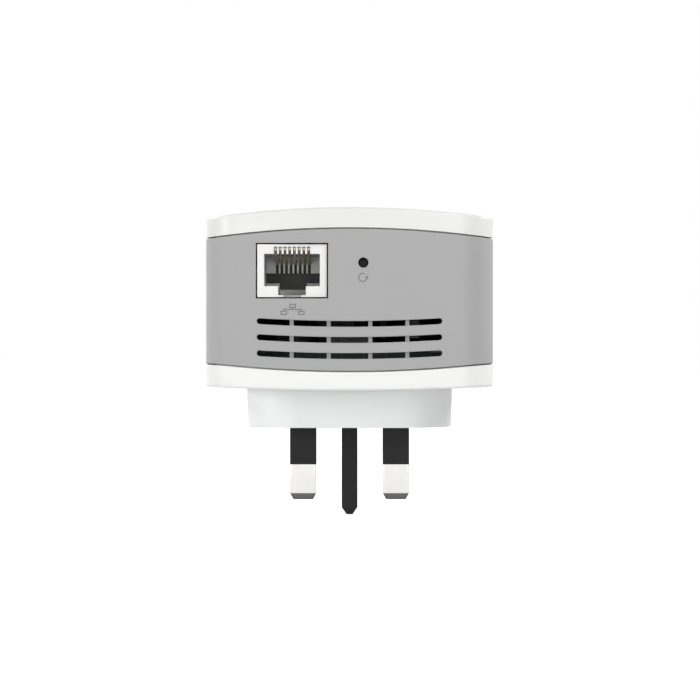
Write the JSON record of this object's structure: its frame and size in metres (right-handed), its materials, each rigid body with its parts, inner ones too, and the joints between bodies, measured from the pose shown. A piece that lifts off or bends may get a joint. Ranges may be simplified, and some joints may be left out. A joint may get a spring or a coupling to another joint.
{
  "type": "wifi range extender",
  "caption": "Plug-in wireless range extender: crowned white front, grey vented band with network port and reset pinhole, side pairing button and a British three-pin plug.",
  "frame": {"origin": "on the flat face of the plug base that meets the wall plate, midway between the earth pin and the line of the other two pins, on the middle line", "axes": "-Z into the wall socket, along the pins; +Z out of the wall to the front cover; +Y up the wall, with the earth pin; -Y down, the side with the network port; +X to the right seen from the front"},
  "size_m": [0.0656, 0.1362, 0.0737],
  "materials": {
    "cover_plastic": "moulded, satin gloss white",
    "band_plastic": "moulded, fine spark texture, light grey",
    "rear_plastic": "moulded, satin white",
    "base_plastic": "moulded, satin white",
    "pin_metal": "nickel-plated brass, lightly brushed",
    "sleeve_plastic": "moulded, dark grey",
    "earth_plastic": "moulded, dark grey",
    "port_plastic": "moulded, white",
    "insert_plastic": "moulded, grey",
    "contact_gold": "gold-plated spring bronze",
    "switch_plastic": "moulded, dark grey",
    "board_laminate": "green solder mask",
    "screw_steel": "zinc-plated steel",
    "can_steel": "tinned steel sheet",
    "pad_rubber": "silicone gap pad",
    "spreader_aluminium": "rolled sheet",
    "led_lens": "clear epoxy",
    "guide_clear": "clear acrylic",
    "lead_jacket": "black jacket",
    "ferrite": "sintered, dark grey",
    "winding_tape": "yellow polyester tape",
    "capacitor_sleeve": "shrunk sleeve",
    "fuse_glass": "ceramic body"
  },
  "bodies": {
    "casing": {"front_cover": "cover_plastic", "side_band": "band_plastic", "rear_housing": "rear_plastic", "plug_base": "base_plastic", "line_pin": "pin_metal", "neutral_pin": "pin_metal", "line_pin_sleeve": "sleeve_plastic", "neutral_pin_sleeve": "sleeve_plastic", "earth_pin": "earth_plastic", "pin_retainer": "base_plastic", "retainer_screw_1": "screw_steel", "retainer_screw_2": "screw_steel", "line_contact_spring": "contact_gold", "neutral_contact_spring": "contact_gold", "jack_housing": "port_plastic", "jack_insert": "insert_plastic", "jack_contact_1": "contact_gold", "jack_contact_2": "contact_gold", "jack_contact_3": "contact_gold", "jack_contact_4": "contact_gold", "jack_contact_5": "contact_gold", "jack_contact_6": "contact_gold", "jack_contact_7": "contact_gold", "jack_contact_8": "contact_gold", "reset_switch_body": "switch_plastic", "wps_switch_body": "switch_plastic", "main_board": "board_laminate", "board_screw_1": "screw_steel", "board_screw_2": "screw_steel", "board_screw_3": "screw_steel", "board_screw_4": "screw_steel", "shield_can_main": "can_steel", "shield_can_radio": "can_steel", "thermal_pad": "pad_rubber", "heat_spreader": "spreader_aluminium", "network_transformer": "switch_plastic", "status_led_1": "led_lens", "status_led_2": "led_lens", "status_led_3": "led_lens", "status_led_4": "led_lens", "light_guide": "guide_clear", "antenna_left": "board_laminate", "antenna_right": "board_laminate", "antenna_lead_left": "lead_jacket", "antenna_lead_right": "lead_jacket", "power_board": "board_laminate", "transformer_core": "ferrite", "transformer_winding": "winding_tape", "bulk_capacitor_1": "capacitor_sleeve", "bulk_capacitor_2": "capacitor_sleeve", "output_capacitor": "capacitor_sleeve", "bridge_rectifier": "switch_plastic", "mains_fuse": "fuse_glass", "mains_choke": "ferrite", "board_link_header": "switch_plastic"},
    "reset_switch": {"reset_plunger": "switch_plastic"},
    "pairing_button": {"wps_button": "band_plastic", "wps_plunger": "switch_plastic"}
  },
  "joints": [
    {"name": "reset_press", "type": "slide", "parent": "casing", "child": "reset_switch", "axis": [0, 1, 0], "range_m": [0, 0.00025], "stiffness_N_per_m": 1500},
    {"name": "pairing_press", "type": "slide", "parent": "casing", "child": "pairing_button", "axis": [-1, 0, 0], "range_m": [0, 0.0003], "stiffness_N_per_m": 1500}
  ]
}
